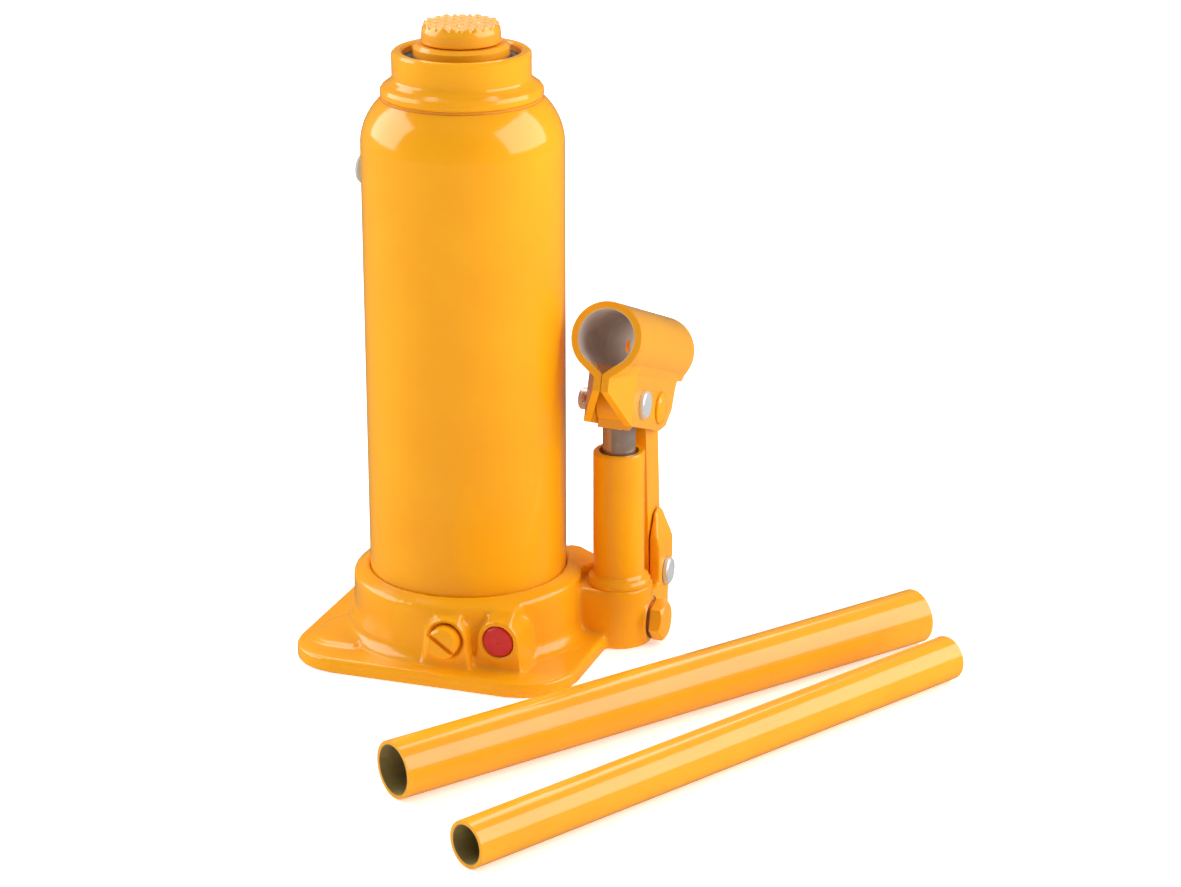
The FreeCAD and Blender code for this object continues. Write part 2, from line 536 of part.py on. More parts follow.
# ---------------------------------------------------------------- pump check valves
# Delivery: seat insert, ball and spring in the line to the cylinder. Suction: ball in the line
# from the tank. Each line is closed at its drilled end by a plug.
seat_x = 41.4
save("delivery_seat", turned_along([(1.6, seat_x), (3.95, seat_x), (3.95, 44.1), (4.95, 44.1), (4.95, 46.4),
                                    (1.6, 46.4)], (0, PUMP_Y, GALLERY_Z), (1, 0, 0)))
delivery_ball_x = seat_x - math.sqrt(CHECK_BALL_R ** 2 - 1.6 ** 2) - 0.05
save("delivery_ball", ball(CHECK_BALL_R, (delivery_ball_x, PUMP_Y, GALLERY_Z)))
save("delivery_spring", coil(2.6, 0.5, 4, (29.6, PUMP_Y, GALLERY_Z), (1, 0, 0), 6.0))
suction_ball_x = 48 + math.sqrt(CHECK_BALL_R ** 2 - GALLERY_R ** 2) + 0.05
save("suction_ball", ball(CHECK_BALL_R, (suction_ball_x, SUCTION_Y, GALLERY_Z)))
save("suction_plug", rod(4.0 - FIT_GAP, (58.6, SUCTION_Y, GALLERY_Z), (63.4, SUCTION_Y, GALLERY_Z)))

# Hexagon plug that closes the valve port, sealed by a copper washer.
plug_x = PUMP_X + 13 + WASHER_T
hex_head = prism_x(hexagon(HEX_R, 12), 0, 4.6)
hex_head.translate(vec(plug_x, PUMP_Y, GALLERY_Z))
chamfer = turned_along([(0, -2), (9, -2), (9, 2.6), (6.2, 4.6), (0, 4.6)],
                       (plug_x, PUMP_Y, GALLERY_Z), (1, 0, 0))
hex_stem = rod(VALVE_PORT_R - FIT_GAP, (59, PUMP_Y, GALLERY_Z), (plug_x + 0.5, PUMP_Y, GALLERY_Z))
save("valve_plug", hex_head.common(chamfer).fuse(hex_stem))
save("valve_plug_washer", pipe(7.2, VALVE_PORT_R, (plug_x - WASHER_T, PUMP_Y, GALLERY_Z),
                               (plug_x, PUMP_Y, GALLERY_Z)))

# Gauze cup over the suction hole on the oil floor.
strainer = turned([(0, 22.6), (2.4, 22.6), (2.4, OIL_FLOOR_Z + 0.8), (3.4, OIL_FLOOR_Z + 0.8),
                   (3.4, OIL_FLOOR_Z), (1.8, OIL_FLOOR_Z), (1.8, 22.0), (0, 22.0)], (SUCTION_X, SUCTION_Y))
save("oil_strainer", strainer)

# ---------------------------------------------------------------- hand pump
# Cylinder screwed into the lug, plain steel piston with a cup seal and a painted eye on top.
pump_bore_r = PISTON_R + RUN_GAP
collar_z = LUG_TOP_Z + FIT_GAP
mouth_z = PUMP_TOP_Z - 7.5
pump = turned([(pump_bore_r, PUMP_FOOT_Z), (PUMP_SPIGOT_R, PUMP_FOOT_Z), (PUMP_SPIGOT_R, collar_z),
               (PUMP_COLLAR_R, collar_z), (PUMP_COLLAR_R, collar_z + 1.4),
               (PUMP_COLLAR_R - 0.6, collar_z + 2.5), (PUMP_R + 0.7, collar_z + 3.2),
               (PUMP_R, collar_z + 4.2), (PUMP_R, PUMP_TOP_Z - 0.6),
               (PUMP_R - 0.6, PUMP_TOP_Z), (PUMP_MOUTH_R, PUMP_TOP_Z), (PUMP_MOUTH_R, mouth_z),
               (pump_bore_r, mouth_z)], (PUMP_X, PUMP_Y))
save("pump_cylinder", pump)
save("pump_washer", pipe(PUMP_SPIGOT_R, 5.6, (PUMP_X, PUMP_Y, PUMP_FOOT_Z - WASHER_T),
                         (PUMP_X, PUMP_Y, PUMP_FOOT_Z)))
save("pump_wiper", pipe(PUMP_MOUTH_R - FIT_GAP, pump_bore_r, (PUMP_X, PUMP_Y, mouth_z),
                        (PUMP_X, PUMP_Y, mouth_z + 3.6)))

foot = PISTON_FOOT_Z
shank = turned([(0, foot), (4.8, foot), (4.8, foot + 1.5), (3, foot + 1.5), (3, foot + 7),
                (PISTON_R, foot + 7), (PISTON_R, PISTON_PIN_Z - 4), (0, PISTON_PIN_Z - 4)], (PUMP_X, PUMP_Y))
x0 = PUMP_X - LINK_HALF_T
x1 = PUMP_X + LINK_HALF_T
eye = rod(8.0, (x0, PUMP_Y, PISTON_PIN_Z), (x1, PUMP_Y, PISTON_PIN_Z))
shoulder = block(x0, x1, PUMP_Y - 6.6, PUMP_Y + 6.6, PISTON_PIN_Z - 8, PISTON_PIN_Z)
pin_hole = rod(PIN_R + RUN_GAP, (x0 - 3, PUMP_Y, PISTON_PIN_Z), (x1 + 3, PUMP_Y, PISTON_PIN_Z))
save("pump_piston", shank.fuse([eye, shoulder]).cut(pin_hole))
save("pump_seal", pipe(PISTON_R, 3 + FIT_GAP, (PUMP_X, PUMP_Y, foot + 1.6), (PUMP_X, PUMP_Y, foot + 6.9)))

# ---------------------------------------------------------------- handle socket
# Steel sheet wrapped into a tube whose two edges meet in a seam under the mouth and then open
# into the two cheeks of a fork. Built with its axis along Y, then tilted about the piston pin.
SOCKET_R = SOCKET_BORE_R + SHEET_T


def sheet_section(y, outer_touch, outer_x, outer_z, inner_touch, inner_x, inner_z, foot_z):
    """Outline of the wrapped sheet, open at the bottom, at one station along the socket."""
    def p(x, z):
        return vec(x, y, z)

    def on_circle(r, x):
        return -math.sqrt(r * r - x * x)

    to = on_circle(SOCKET_R, outer_touch)
    ti = on_circle(SOCKET_BORE_R, inner_touch)
    edges = [Part.makeLine(p(-outer_x, foot_z), p(-outer_x, outer_z)),
             Part.makeLine(p(-outer_x, outer_z), p(-outer_touch, to)),
             Part.Arc(p(-outer_touch, to), p(0, SOCKET_R), p(outer_touch, to)).toShape(),
             Part.makeLine(p(outer_touch, to), p(outer_x, outer_z)),
             Part.makeLine(p(outer_x, outer_z), p(outer_x, foot_z)),
             Part.makeLine(p(outer_x, foot_z), p(inner_x, foot_z)),
             Part.makeLine(p(inner_x, foot_z), p(inner_x, inner_z)),
             Part.makeLine(p(inner_x, inner_z), p(inner_touch, ti)),
             Part.Arc(p(inner_touch, ti), p(0, SOCKET_BORE_R), p(-inner_touch, ti)).toShape(),
             Part.makeLine(p(-inner_touch, ti), p(-inner_x, inner_z)),
             Part.makeLine(p(-inner_x, inner_z), p(-inner_x, foot_z)),
             Part.makeLine(p(-inner_x, foot_z), p(-outer_x, foot_z))]
    return Part.Wire(edges)


cheek_x = CLEVIS_HALF_GAP + SHEET_T
mouth = sheet_section(0, 7.9, 2.85, -14.2, 6.3, 0.15, -13.0, -19.0)
fork = sheet_section(FORK_START, 10.2, cheek_x, -11.5, 6.5, CLEVIS_HALF_GAP, -9.0, -CHEEK_DROP)
nose = Part.makeLoft([mouth, fork], True, True)
sleeve = Part.Face(fork).extrude(vec(0, SOCKET_LEN - FORK_START, 0))
trim = prism_x([(48.6, -40), (48.6, -CHEEK_DROP), (56, -27.6), (61.5, -21.4), (62.6, -15), (64, -10.6),
                (80, -10.6), (80, -40)], -20, 20)
socket = nose.fuse(sleeve.cut(trim)).removeSplitter()
pin_z = -PIN_DROP
for along in (PIN_ALONG, PIN_ALONG + PIN_SPACING):
    socket = socket.cut(rod(PIN_R + FIT_GAP, (-20, along, pin_z), (20, along, pin_z)))
# small hole punched in the left wall near the far end
socket = socket.cut(rod(2.6, (-20, 60, 0), (0, 60, 0)))


def tilt(solid):
    """Carry a piece from the level socket frame to its place on the piston pin."""
    solid.translate(vec(0, -PIN_ALONG, PIN_DROP))
    solid.rotate(vec(0, 0, 0), X_AXIS, -SOCKET_TILT)
    solid.translate(vec(PUMP_X, PUMP_Y, PISTON_PIN_Z))
    return solid


save("handle_socket", tilt(socket))


# Pins that hold the fork to the piston's eye and to the link.
def headed_pin(head_x, tip_x, cross_x):
    """Zinc plated pin along X with a round head on the right and a cross hole near its left tip."""
    pin = turned_along([(0, tip_x), (PIN_R - 0.6, tip_x), (PIN_R, tip_x + 0.6), (PIN_R, head_x),
                        (PIN_HEAD_R, head_x), (PIN_HEAD_R, head_x + 1.3),
                        (PIN_HEAD_R - 0.5, head_x + 1.8), (0, head_x + 1.8)],
                       (0, 0, 0), (1, 0, 0))
    return pin.cut(rod(2.3 * SPLIT_WIRE_R, (cross_x, -9, 0), (cross_x, 9, 0)))


def split_pin(x):
    """Folded wire pin lying along Y through x, its eye at the -Y end and its legs spread at the other."""
    r = SPLIT_WIRE_R
    legs = [rod(r, (x, -5.4, 0.5), (x, 5.6, 0.5)), rod(r, (x, -5.4, -0.5), (x, 5.6, -0.5)),
            rod(r, (x, 5.4, 0.5), (x, 8.2, 3.0)), rod(r, (x, 5.4, -0.5), (x, 7.6, -2.8))]
    return Part.makeTorus(1.5, r, vec(x, -6.9, 0), X_AXIS).fuse(legs)


def moved(solid, x, y, z):
    solid.translate(vec(x, y, z))
    return solid


# Piston pin: head on the right cheek, split pin outside the left one.
head_x = cheek_x + 0.1
cross_x = -11.9
save("piston_pin", tilt(moved(headed_pin(head_x, -14.6, cross_x), 0, PIN_ALONG, pin_z)))
save("piston_split_pin", tilt(moved(split_pin(cross_x), 0, PIN_ALONG, pin_z)))

# Link pin: riveted, with a low painted head on both cheeks.
rivet = turned_along([(0, -head_x - 1.6), (3.6, -head_x - 1.6), (5.4, -head_x - 0.5), (5.4, -head_x),
                      (PIN_R, -head_x), (PIN_R, head_x), (5.8, head_x), (5.8, head_x + 0.7),
                      (4.4, head_x + 1.5), (0, head_x + 1.8)],
                     (0, PIN_ALONG + PIN_SPACING, pin_z), (1, 0, 0))
save("link_pin", tilt(rivet))

# ---------------------------------------------------------------- link
# Flat forged bar between the ear and the socket. Its upper eye is a little large for the pin.
tilt_rad = math.radians(SOCKET_TILT)
top_y = PUMP_Y + PIN_SPACING * math.cos(tilt_rad) + EYE_SHIFT_Y
top_z = PISTON_PIN_Z - PIN_SPACING * math.sin(tilt_rad) + EYE_SHIFT_Z
x0 = PUMP_X - LINK_HALF_T
x1 = PUMP_X + LINK_HALF_T
link = rod(LINK_END_R, (x0, top_y, top_z), (x1, top_y, top_z))
link = link.fuse(rod(LINK_END_R, (x0, EAR_PIN_Y, EAR_PIN_Z), (x1, EAR_PIN_Y, EAR_PIN_Z)))
run = vec(0, top_y - EAR_PIN_Y, top_z - EAR_PIN_Z)
side = vec(0, run.z, -run.y).normalize() * LINK_END_R
corners = [(EAR_PIN_Y + side.y, EAR_PIN_Z + side.z), (top_y + side.y, top_z + side.z),
           (top_y - side.y, top_z - side.z), (EAR_PIN_Y - side.y, EAR_PIN_Z - side.z)]
link = link.fuse(prism_x(corners, x0, x1)).removeSplitter()
link = link.cut(rod(PIN_R + LINK_EYE_SLACK, (x0 - 1, top_y, top_z), (x1 + 1, top_y, top_z)))
link = link.cut(rod(PIN_R + RUN_GAP, (x0 - 1, EAR_PIN_Y, EAR_PIN_Z), (x1 + 1, EAR_PIN_Y, EAR_PIN_Z)))
save("link", link)

# Ear pin: the same kind of pin as the piston's, longer.
ear_cross_x = -13.4
save("ear_pin", moved(headed_pin(EAR_HALF_W + 0.1, -16.2, ear_cross_x), PUMP_X, EAR_PIN_Y, EAR_PIN_Z))
save("ear_split_pin", moved(split_pin(ear_cross_x), PUMP_X, EAR_PIN_Y, EAR_PIN_Z))

# ---------------------------------------------------------------- handle tubes
# Two plain steel tubes lying in front of the jack: the small one slides into the big one.
tubes = (("handle_tube_big", BIG_TUBE_R, BIG_TUBE_ENDS),
         ("handle_tube_small", SMALL_TUBE_R, SMALL_TUBE_ENDS))
for name, r, ends in tubes:
    near, far = ends
    save(name, pipe(r, r - TUBE_WALL, (near[0], near[1], r), (far[0], far[1], r)))
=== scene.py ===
"""Hydraulic bottle jack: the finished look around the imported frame."""
import bpy
import bmesh
import math
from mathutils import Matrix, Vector


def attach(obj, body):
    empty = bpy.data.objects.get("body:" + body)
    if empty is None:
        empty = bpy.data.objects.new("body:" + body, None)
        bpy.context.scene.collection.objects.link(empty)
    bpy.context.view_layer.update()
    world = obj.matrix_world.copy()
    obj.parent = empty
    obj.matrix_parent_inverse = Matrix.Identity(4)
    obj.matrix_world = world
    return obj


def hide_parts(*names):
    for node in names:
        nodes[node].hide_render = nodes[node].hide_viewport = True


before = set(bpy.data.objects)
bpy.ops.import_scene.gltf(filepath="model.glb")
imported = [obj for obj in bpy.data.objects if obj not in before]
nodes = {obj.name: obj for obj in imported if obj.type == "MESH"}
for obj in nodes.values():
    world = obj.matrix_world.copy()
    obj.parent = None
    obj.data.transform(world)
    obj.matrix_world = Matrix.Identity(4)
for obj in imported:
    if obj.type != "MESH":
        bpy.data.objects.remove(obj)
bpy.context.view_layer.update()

# ---------------------------------------------------------------- base casting
# Grey iron sand casting: foot plate, tank seat, two valve bosses, pump lug and forked ear.
# Its corners are soft from the mould, and the enamel lies thick over a fine sandy skin.
MM = 0.001


def linear(hex_text):
    """sRGB hex to the linear colour that the shader takes."""
    parts = [int(hex_text[i:i + 2], 16) / 255 for i in (0, 2, 4)]
    parts = [c / 12.92 if c <= 0.04045 else ((c + 0.055) / 1.055) ** 2.4 for c in parts]
    return (*parts, 1.0)


def add(tree, kind, links=None, values=None, **settings):
    """One shader node with its settings, its fixed values and its incoming links."""
    node = tree.nodes.new(kind)
    for name, value in settings.items():
        setattr(node, name, value)
    for socket, value in (values or {}).items():
        node.inputs[socket].default_value = value
    for socket, source in (links or {}).items():
        tree.links.new(source, node.inputs[socket])
    return node


def blank_material(name):
    """Empty material, its node tree and its object position."""
    mat = bpy.data.materials.new(name)
    mat.use_nodes = True
    tree = mat.node_tree
    tree.nodes.clear()
    return mat, tree, add(tree, "ShaderNodeTexCoord").outputs["Object"]


# Sprayed gloss enamel. The yellow drifts towards orange where it lies thin, and the orange peel
# of the spray wrinkles the edge of each highlight.
ENAMEL = "FBB014"
ENAMEL_THIN = "F5A00E"
DRIFT_MM = 26
PEEL_MM = 2.2
PEEL_DEPTH_MM = 0.06
SAND_MM = 1.1
SAND_DEPTH_MM = 0.2
COLOUR_ROUGHNESS = 0.5
GLOSS_ROUGHNESS = 0.13


def enamel_parts(tree, where, sand=0.0):
    """Colour and surface of the enamel; sand is how much of the casting's skin shows through."""
    cloud = add(tree, "ShaderNodeTexNoise", {"Vector": where},
                {"Scale": 1 / (DRIFT_MM * MM), "Detail": 3.0})
    colour = add(tree, "ShaderNodeMix", {"Factor": cloud.outputs["Fac"]},
                 {6: linear(ENAMEL), 7: linear(ENAMEL_THIN)}, data_type="RGBA").outputs[2]
    peel = add(tree, "ShaderNodeTexNoise", {"Vector": where},
               {"Scale": 1 / (PEEL_MM * MM), "Detail": 1.0})
    skin = add(tree, "ShaderNodeBump", {"Height": peel.outputs["Fac"]},
               {"Strength": 0.12, "Distance": PEEL_DEPTH_MM * MM})
    if sand:
        grain = add(tree, "ShaderNodeTexNoise", {"Vector": where},
                    {"Scale": 1 / (SAND_MM * MM), "Detail": 3.0})
        skin = add(tree, "ShaderNodeBump",
                   {"Height": grain.outputs["Fac"], "Normal": skin.outputs["Normal"]},
                   {"Strength": sand, "Distance": SAND_DEPTH_MM * MM})
    return colour, skin.outputs["Normal"]


def enamel(name, sand=0.0):
    """Enamel all over: the colour under it is matt, and the gloss is in the clear coat."""
    mat, tree, where = blank_material(name)
    colour, skin = enamel_parts(tree, where, sand)
    surface = add(tree, "ShaderNodeBsdfPrincipled",
                  {"Base Color": colour, "Normal": skin, "Coat Normal": skin},
                  {"Roughness": COLOUR_ROUGHNESS, "IOR": 1.5, "Specular IOR Level": 0.05,
                   "Coat Weight": 1.0, "Coat Roughness": GLOSS_ROUGHNESS})
    add(tree, "ShaderNodeOutputMaterial", {"Surface": surface.outputs["BSDF"]})
    return mat


def dress(mat, *names):
    """Give CAD nodes their finished material."""
    for name in names:
        for place in nodes[name].material_slots:
            place.material = mat


def new_piece(name, bm, mat, body, *stands_for):
    """Finish a mesh as a piece that rides on a body and stands for some CAD nodes."""
    mesh = bpy.data.meshes.new(name)
    bm.to_mesh(mesh)
    bm.free()
    piece = bpy.data.objects.new(name, mesh)
    bpy.context.collection.objects.link(piece)
    mesh.materials.append(mat)
    for face in mesh.polygons:
        face.use_smooth = True
    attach(piece, body)
    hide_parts(*stands_for)
    return piece


# The mould rounds every corner, so the surface is remade on a fine grid and relaxed.
WELD = 0.01 * MM
MOULD_GRID = 0.75 * MM
MOULD_RELAX = 9

cast_enamel = enamel("gloss enamel on cast iron", sand=0.5)
bm = bmesh.new()
bm.from_mesh(nodes["base"].data)
bmesh.ops.remove_doubles(bm, verts=bm.verts, dist=WELD)
casting = new_piece("base_casting", bm, cast_enamel, "jack", "base")
remesh = casting.modifiers.new("mould skin", "REMESH")
remesh.mode = "VOXEL"
remesh.voxel_size = MOULD_GRID
remesh.use_smooth_shade = True
soften = casting.modifiers.new("mould corners", "SMOOTH")
soften.factor = 0.5
soften.iterations = MOULD_RELAX

# ---------------------------------------------------------------- tank, cap nut and painted fittings
# Drawn steel tube with a spun shoulder, held down by a turned nut, beside the painted steel of
# the pump and its link. The enamel flows out glassier here than on the casting, with a faint
# orange peel.
smooth_enamel = enamel("gloss enamel on drawn steel")
dress(smooth_enamel, "tank", "cap_nut", "pump_cylinder", "link", "link_pin", "release_screw",
      "valve_plug")

# Fibre gaskets at both ends of the tank. Only their edge shows. The spray has covered it, but
# fibre drinks the gloss, so it stays a duller and browner yellow than the steel.
gasket_mat, tree, where = blank_material("enamelled fibre board")
fibre = add(tree, "ShaderNodeTexNoise", {"Vector": where}, {"Scale": 1 / (1.5 * MM), "Detail": 4.0})
tint = add(tree, "ShaderNodeMix", {"Factor": fibre.outputs["Fac"]},
           {6: linear("F0A013"), 7: linear("D98C12")}, data_type="RGBA").outputs[2]
surface = add(tree, "ShaderNodeBsdfPrincipled", {"Base Color": tint}, {"Roughness": 0.6})
add(tree, "ShaderNodeOutputMaterial", {"Surface": surface.outputs["BSDF"]})
dress(gasket_mat, "tank_foot_gasket", "tank_top_gasket")

# Moulded rubber filler plug, pushed into the tank: grey and matt, with a fine bloom that looks
# dusty.
filler_mat, tree, where = blank_material("grey moulded rubber")
bloom = add(tree, "ShaderNodeTexNoise", {"Vector": where}, {"Scale": 1 / (2 * MM), "Detail": 3.0})
tint = add(tree, "ShaderNodeMix", {"Factor": bloom.outputs["Fac"]},
           {6: linear("B9B4A8"), 7: linear("A39E93")}, data_type="RGBA").outputs[2]
surface = add(tree, "ShaderNodeBsdfPrincipled", {"Base Color": tint}, {"Roughness": 0.65})
add(tree, "ShaderNodeOutputMaterial", {"Surface": surface.outputs["BSDF"]})
dress(filler_mat, "filler_plug")

# ---------------------------------------------------------------- rubber and polyurethane seals
# Moulded wipers and rings where the rods and the release screw leave the jack, and the cups and
# guide ring that the two pistons carry inside it. All of them are wet with oil.

# Nitrile is nearly black. Dust greys it in small clouds, and oil leaves it half matt.
rubber_mat, tree, where = blank_material("oiled nitrile rubber")
dust = add(tree, "ShaderNodeTexNoise", {"Vector": where}, {"Scale": 1 / (1.2 * MM), "Detail": 4.0})
tint = add(tree, "ShaderNodeMix", {"Factor": dust.outputs["Fac"]},
           {6: linear("1C1A18"), 7: linear("3A342E")}, data_type="RGBA").outputs[2]
surface = add(tree, "ShaderNodeBsdfPrincipled", {"Base Color": tint}, {"Roughness": 0.5})
add(tree, "ShaderNodeOutputMaterial", {"Surface": surface.outputs["BSDF"]})
dress(rubber_mat, "rod_seal", "wiper_ring", "release_o_ring", "pump_wiper")

# Polyurethane is smooth and honey coloured, with slow swirls from the mould.
cup_mat, tree, where = blank_material("amber polyurethane")
swirl = add(tree, "ShaderNodeTexNoise", {"Vector": where}, {"Scale": 1 / (3 * MM), "Detail": 2.0})
tint = add(tree, "ShaderNodeMix", {"Factor": swirl.outputs["Fac"]},
           {6: linear("D9A850"), 7: linear("BE8C38")}, data_type="RGBA").outputs[2]
surface = add(tree, "ShaderNodeBsdfPrincipled", {"Base Color": tint}, {"Roughness": 0.35})
add(tree, "ShaderNodeOutputMaterial", {"Surface": surface.outputs["BSDF"]})
dress(cup_mat, "cup_seal", "pump_seal", "guide_ring")

# ---------------------------------------------------------------- bare steel, bronze, copper and zinc
# Turned, ground, wound and plated pieces that carry no paint: the pressure cylinder and its
# valves inside the jack, and the pins that hold the pump's linkage.
TOOL_MARK_DEPTH = 0.02 * MM


def bare_metal(name, light, dark, rough, ridge_mm=0.4, metallic=1.0):
    """Bare metal whose tool marks are ridge_mm apart; a dull plate is less than fully metallic."""
    mat, tree, where = blank_material(name)
    marks = add(tree, "ShaderNodeTexNoise", {"Vector": where},
                {"Scale": 1 / (ridge_mm * MM), "Detail": 3.0})
    colour = add(tree, "ShaderNodeMix", {"Factor": marks.outputs["Fac"]},
                 {6: linear(light), 7: linear(dark)}, data_type="RGBA").outputs[2]
    bump = add(tree, "ShaderNodeBump", {"Height": marks.outputs["Fac"]},
               {"Strength": 0.2, "Distance": TOOL_MARK_DEPTH})
    surface = add(tree, "ShaderNodeBsdfPrincipled",
                  {"Base Color": colour, "Normal": bump.outputs["Normal"]},
                  {"Metallic": metallic, "Roughness": rough})
    add(tree, "ShaderNodeOutputMaterial", {"Surface": surface.outputs["BSDF"]})
    return mat


# Turning leaves mild steel pale, and its fine ridges break up the light.
turned_steel = bare_metal("turned mild steel", "C9C7C2", "A5A29C", rough=0.3)
dress(turned_steel, "pressure_cylinder", "ram_piston", "screw_stop", "overload_adjuster",
      "suction_plug")
# Bearing balls are polished nearly to mirrors.
ball_steel = bare_metal("polished bearing steel", "D6D7DA", "C8C9CC", rough=0.08, ridge_mm=2.0)
dress(ball_steel, "release_ball", "overload_ball", "delivery_ball", "suction_ball")
# Bluing turns spring steel a dark grey with a soft shine.
spring_steel = bare_metal("blued spring steel", "6B6864", "4E4B48", rough=0.35)
dress(spring_steel, "overload_spring", "delivery_spring", "screw_circlip")
# Bronze is a warm yellow, browner in its tool marks.
bronze = bare_metal("turned bronze", "C89A5A", "A87B40", rough=0.3)
dress(bronze, "ram_guide_bush", "delivery_seat", "oil_strainer")
# Annealing leaves copper pink, with soft darker patches.
copper = bare_metal("annealed copper", "D98F6A", "B87252", rough=0.35, ridge_mm=1.5)
dress(copper, "cylinder_washer", "pump_washer", "valve_plug_washer")
# Zinc plate is bluish white and scatters the light, so it shows no sharp image.
zinc = bare_metal("bright zinc plate", "EEF2F5", "D4DADF", rough=0.4, ridge_mm=1.0, metallic=0.5)
dress(zinc, "piston_pin", "piston_split_pin", "ear_pin", "ear_split_pin")

# ---------------------------------------------------------------- ram and pump piston
# Ground steel rods, bare where they run in their seals. The spray has caught the top of each:
# the ram above the nut, and the eye of the pump piston.
RAM_PAINT_FROM = 219.0 * MM
EYE_PAINT_FROM = 83.6 * MM
MASK_RAG = 0.8 * MM
MASK_EDGE = 0.2 * MM
# Grinding marks run round a rod, so their noise is drawn out round it and squashed along it.
GRINDING = (0.15, 0.15, 3.0)


def part_sprayed(tree, where, paint, steel, metallic, rough):
    """Enamel where paint is 1, and bare steel of that colour where it is 0."""
    colour, skin = enamel_parts(tree, where)
    both = add(tree, "ShaderNodeMix", {"Factor": paint, 6: steel, 7: colour}, data_type="RGBA")
    bare = add(tree, "ShaderNodeMapRange", {"Value": paint}, {"To Min": metallic, "To Max": 0.0})
    matt = add(tree, "ShaderNodeMapRange", {"Value": paint},
               {"To Min": rough, "To Max": COLOUR_ROUGHNESS})
    surface = add(tree, "ShaderNodeBsdfPrincipled",
                  {"Base Color": both.outputs[2], "Metallic": bare.outputs[0],
                   "Roughness": matt.outputs[0], "Normal": skin, "Coat Normal": skin,
                   "Coat Weight": paint},
                  {"IOR": 1.5, "Specular IOR Level": 0.2, "Coat Roughness": GLOSS_ROUGHNESS})
    add(tree, "ShaderNodeOutputMaterial", {"Surface": surface.outputs["BSDF"]})


def half_painted(name, paint_from, light, dark, metallic, rough, marks_mm):
    """Bare steel below a height and enamel above it, with the ragged edge that masking leaves."""
    mat, tree, where = blank_material(name)
    place = add(tree, "ShaderNodeSeparateXYZ", {"Vector": where})
    rag = add(tree, "ShaderNodeTexNoise", {"Vector": where}, {"Scale": 1 / (2 * MM), "Detail": 2.0})
    shift = add(tree, "ShaderNodeMath", {0: rag.outputs["Fac"]}, {1: MASK_RAG}, operation="MULTIPLY")
    level = add(tree, "ShaderNodeMath", {0: place.outputs["Z"], 1: shift.outputs[0]}, operation="ADD")
    paint = add(tree, "ShaderNodeMapRange", {"Value": level.outputs[0]},
                {"From Min": paint_from, "From Max": paint_from + MASK_EDGE})
    drawn = add(tree, "ShaderNodeMapping", {"Vector": where}, {"Scale": GRINDING})
    marks = add(tree, "ShaderNodeTexNoise", {"Vector": drawn.outputs["Vector"]},
                {"Scale": 1 / (marks_mm * MM), "Detail": 3.0})
    steel = add(tree, "ShaderNodeMix", {"Factor": marks.outputs["Fac"]},
                {6: linear(light), 7: linear(dark)}, data_type="RGBA")
    part_sprayed(tree, where, paint.outputs[0], steel.outputs[2], metallic, rough)
    return mat


# Oil over the fine grinding leaves both rods satin: the ram grey, and the piston browner.
ram_steel = half_painted("ground ram steel with overspray", RAM_PAINT_FROM, "D4D0CA", "B0ABA4",
                         metallic=0.6, rough=0.28, marks_mm=0.5)
dress(ram_steel, "ram")
piston_steel = half_painted("ground piston steel with overspray", EYE_PAINT_FROM, "CDBFB2", "9C8F83",
                            metallic=0.65, rough=0.24, marks_mm=0.5)
dress(piston_steel, "pump_piston")

# ---------------------------------------------------------------- extension screw and saddle
# Forged screw with a coarse thread, flat at crest and root. Its round head is the saddle, whose
# face is pressed into rows of blunt teeth; only the head is painted.
HEAD_PAINT_FROM = 222.4 * MM
THREAD_PITCH = 4.0 * MM
THREAD_CREST = 12.0 * MM
THREAD_ROOT = 10.6 * MM
THREAD_FROM = 116.0 * MM
THREAD_TO = 222.8 * MM
THREAD_LAP = 0.1 * MM
STEPS_PER_TURN = 40
CUT = 0.001 * MM
# The bare steel is darker and duller than the ram, with coarser marks that the forging left.
screw_mat = half_painted("forged screw steel with enamelled head", HEAD_PAINT_FROM, "B0ABA3", "8A847C",
                         metallic=0.6, rough=0.38, marks_mm=0.8)

bm = bmesh.new()
bm.from_mesh(nodes["extension_screw"].data)
bmesh.ops.remove_doubles(bm, verts=bm.verts, dist=WELD)
# The plain shank between the two heights is cut away, and each stump is closed again.
for height in (THREAD_FROM, THREAD_TO):
    bmesh.ops.bisect_plane(bm, geom=bm.verts[:] + bm.edges[:] + bm.faces[:], dist=CUT,
                           plane_co=(0, 0, height), plane_no=(0, 0, 1))
shank = [f for f in bm.faces if THREAD_FROM < f.calc_center_median().z < THREAD_TO]
bmesh.ops.delete(bm, geom=shank, context="FACES")
bmesh.ops.holes_fill(bm, edges=[e for e in bm.edges if e.is_boundary], sides=0)
stump_faces = set(bm.faces)
# One pitch of the profile, wound round the axis; neighbouring turns share their edges.
turns = math.ceil((THREAD_TO - THREAD_FROM) / THREAD_PITCH) + 2
foot = THREAD_FROM - 1.5 * THREAD_PITCH
profile = [(THREAD_ROOT, 0.0), (THREAD_ROOT, 0.22), (THREAD_CREST, 0.4), (THREAD_CREST, 0.82),
           (THREAD_ROOT, 1.0)]
corners = [bm.verts.new((r, 0, foot + part * THREAD_PITCH)) for r, part in profile]
edges = [bm.edges.new(pair) for pair in zip(corners, corners[1:])]
bmesh.ops.spin(bm, geom=corners + edges, cent=(0, 0, 0), axis=(0, 0, 1), angle=2 * math.pi * turns,
               steps=turns * STEPS_PER_TURN, dvec=(0, 0, THREAD_PITCH / STEPS_PER_TURN),
               use_merge=False)
coil_faces = [f for f in bm.faces if f not in stump_faces]
coil_verts = list({v for f in coil_faces for v in f.verts})
bmesh.ops.remove_doubles(bm, verts=coil_verts, dist=WELD)
